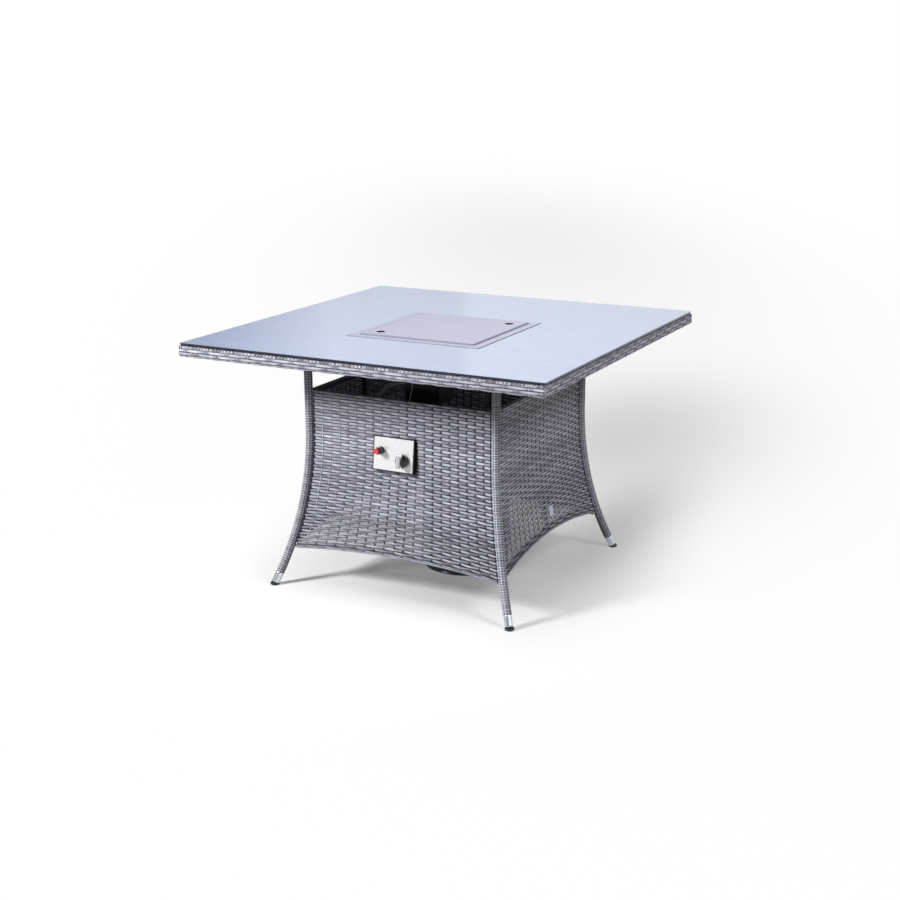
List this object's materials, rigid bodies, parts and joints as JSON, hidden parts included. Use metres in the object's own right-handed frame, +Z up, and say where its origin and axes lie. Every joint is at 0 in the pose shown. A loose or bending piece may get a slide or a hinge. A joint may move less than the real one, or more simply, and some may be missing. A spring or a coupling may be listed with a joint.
{
  "type": "gas fire pit table",
  "caption": "Square woven-rattan garden table with a glass top, a gas burner under a steel lid, a control plate and a gas bottle inside the base.",
  "frame": {"origin": "on the floor under the middle of the tabletop", "axes": "+Z up, +X along the front edge to the right, +Y from the front with the controls to the back"},
  "size_m": [1.12, 1.12, 0.7493],
  "materials": {
    "frame_steel": "satin black powder coat",
    "black_steel": "satin black powder coat",
    "rattan": "flat woven strands in mixed greys",
    "glass": "clear, polished edges",
    "silicone": "soft, slightly glossy",
    "satin_steel": "fine brushed",
    "mirror_steel": "mirror polished",
    "knob_chrome": "bright chrome",
    "brass": "turned, satin",
    "cast_iron": "sand cast, matt",
    "lava_rock": "rough and porous",
    "ceramic": "smooth, unglazed",
    "copper": "drawn tube, satin",
    "aluminium": "polished",
    "black_plastic": "fine grain",
    "red_plastic": "gloss",
    "green_paint": "gloss paint",
    "grey_hose": "ribbed metal-grey sleeve",
    "black_rubber": "matt with a faint length line"
  },
  "bodies": {
    "base": {"air_box": "black_steel", "bottle_collar": "green_paint", "bottle_valve": "brass", "burner_grate": "cast_iron", "burner_hose": "grey_hose", "burner_ring": "satin_steel", "burner_tray": "satin_steel", "control_box": "black_steel", "control_plate": "mirror_steel", "gas_bottle": "green_paint", "gas_jet": "brass", "glass_pad_back_left": "silicone", "glass_pad_back_right": "silicone", "glass_pad_front_left": "silicone", "glass_pad_front_right": "silicone", "glass_top": "glass", "igniter_electrode": "ceramic", "igniter_housing": "black_plastic", "igniter_lead": "silicone", "igniter_nut": "black_plastic", "lava_rock_bed": "lava_rock", "leg_ferrule_back_left": "aluminium", "leg_ferrule_back_right": "aluminium", "leg_ferrule_front_left": "aluminium", "leg_ferrule_front_right": "aluminium", "leg_glide_back_left": "black_plastic", "leg_glide_back_right": "black_plastic", "leg_glide_front_left": "black_plastic", "leg_glide_front_right": "black_plastic", "leg_tube_back_left": "frame_steel", "leg_tube_back_right": "frame_steel", "leg_tube_front_left": "frame_steel", "leg_tube_front_right": "frame_steel", "leg_wrap_back_left": "rattan", "leg_wrap_back_right": "rattan", "leg_wrap_front_left": "rattan", "leg_wrap_front_right": "rattan", "mixer_tube": "satin_steel", "panel_frame_back": "frame_steel", "panel_frame_front": "frame_steel", "panel_frame_left": "frame_steel", "panel_frame_right": "frame_steel", "panel_weave_back": "rattan", "panel_weave_front": "rattan", "panel_weave_left": "rattan", "panel_weave_right": "rattan", "regulator": "aluminium", "supply_hose": "black_rubber", "tabletop_frame": "frame_steel", "tabletop_weave": "rattan", "tag_plate": "satin_steel", "thermocouple": "copper", "thermocouple_lead": "copper", "valve_body": "brass"},
    "lid": {"lid": "satin_steel"},
    "gas_plug": {"valve_plug": "brass"},
    "knob": {"valve_stem": "satin_steel", "gas_knob": "knob_chrome"},
    "igniter_button": {"igniter_button": "red_plastic"},
    "regulator_switch": {"regulator_switch": "black_plastic"}
  },
  "joints": [
    {"name": "lid_lift", "type": "slide", "parent": "base", "child": "lid", "axis": [0, 0, 1], "range_m": [0, 0.15]},
    {"name": "knob_turn", "type": "hinge", "parent": "base", "child": "gas_plug", "pos_m": [0.0144, -0.31177, 0.41311], "axis": [0, -0.9925, 0.1219], "range_deg": [0, 180]},
    {"name": "knob_push", "type": "slide", "parent": "gas_plug", "child": "knob", "axis": [0, 0.9925, -0.1219], "range_m": [0, 0.003], "stiffness_N_per_m": 800, "springref_m": -0.002},
    {"name": "igniter_press", "type": "slide", "parent": "base", "child": "igniter_button", "axis": [0, 0.9925, -0.1219], "range_m": [0, 0.006], "stiffness_N_per_m": 500, "springref_m": -0.002},
    {"name": "switch_turn", "type": "hinge", "parent": "base", "child": "regulator_switch", "pos_m": [0.032, 0.05, 0.488], "axis": [0, 0, 1], "range_deg": [0, 90]}
  ]
}
